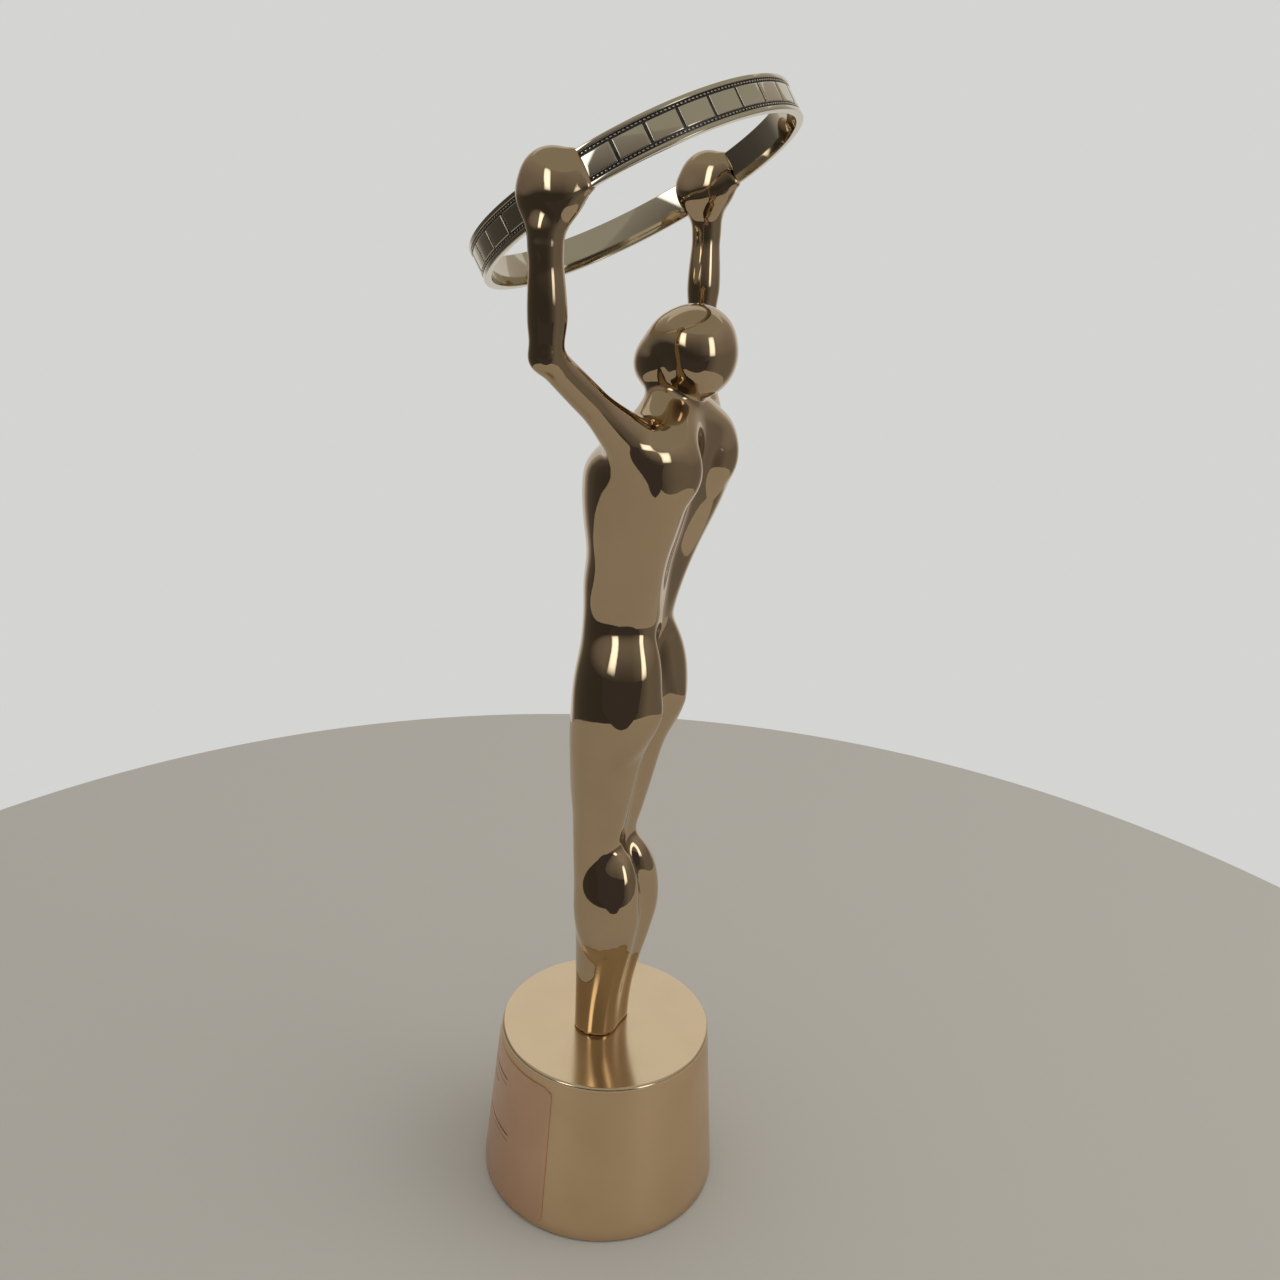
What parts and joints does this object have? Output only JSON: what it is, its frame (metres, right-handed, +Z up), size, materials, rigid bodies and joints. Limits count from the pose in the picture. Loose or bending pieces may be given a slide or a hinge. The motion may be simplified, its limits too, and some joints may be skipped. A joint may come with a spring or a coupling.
{
  "type": "figure trophy",
  "caption": "Slim polished gold figure with raised arms holding a tilted film-strip ring, standing on a tapered round metal base with a curved plate.",
  "frame": {"origin": "centre of the felt face that stands on the table", "axes": "+Z up; the figure faces -Y and its left hand is on the +X side"},
  "size_m": [0.1196, 0.0986, 0.4067],
  "materials": {
    "figure_gold": "mirror polished pale gold plate",
    "ring_gold": "polished pale gold plate",
    "enamel_black": "satin black enamel fill",
    "base_gold": "satin sides and polished top, rose gold",
    "plate_copper": "satin copper-toned plate with engraved lines",
    "plated_steel": "zinc plated",
    "cast_weight": "as cast",
    "felt_black": "pressed felt"
  },
  "bodies": {
    "root": {"base_shell": "base_gold", "bottom_plate": "plated_steel", "bottom_screw_1": "plated_steel", "bottom_screw_2": "plated_steel", "bottom_screw_3": "plated_steel", "enamel_front_strip": "enamel_black", "enamel_rear_strip": "enamel_black", "felt_pad": "felt_black", "foot_stud_left": "plated_steel", "foot_stud_right": "plated_steel", "head": "figure_gold", "left_arm": "figure_gold", "nameplate": "plate_copper", "neck_pin": "plated_steel", "nut_left": "plated_steel", "nut_right": "plated_steel", "right_arm": "figure_gold", "ring_front_arc": "ring_gold", "ring_rear_arc": "ring_gold", "shoulder_pin_left": "plated_steel", "shoulder_pin_right": "plated_steel", "spring_washer_left": "plated_steel", "spring_washer_right": "plated_steel", "torso_and_legs": "figure_gold", "washer_left": "plated_steel", "washer_right": "plated_steel", "weight_block": "cast_weight"}
  },
  "joints": []
}
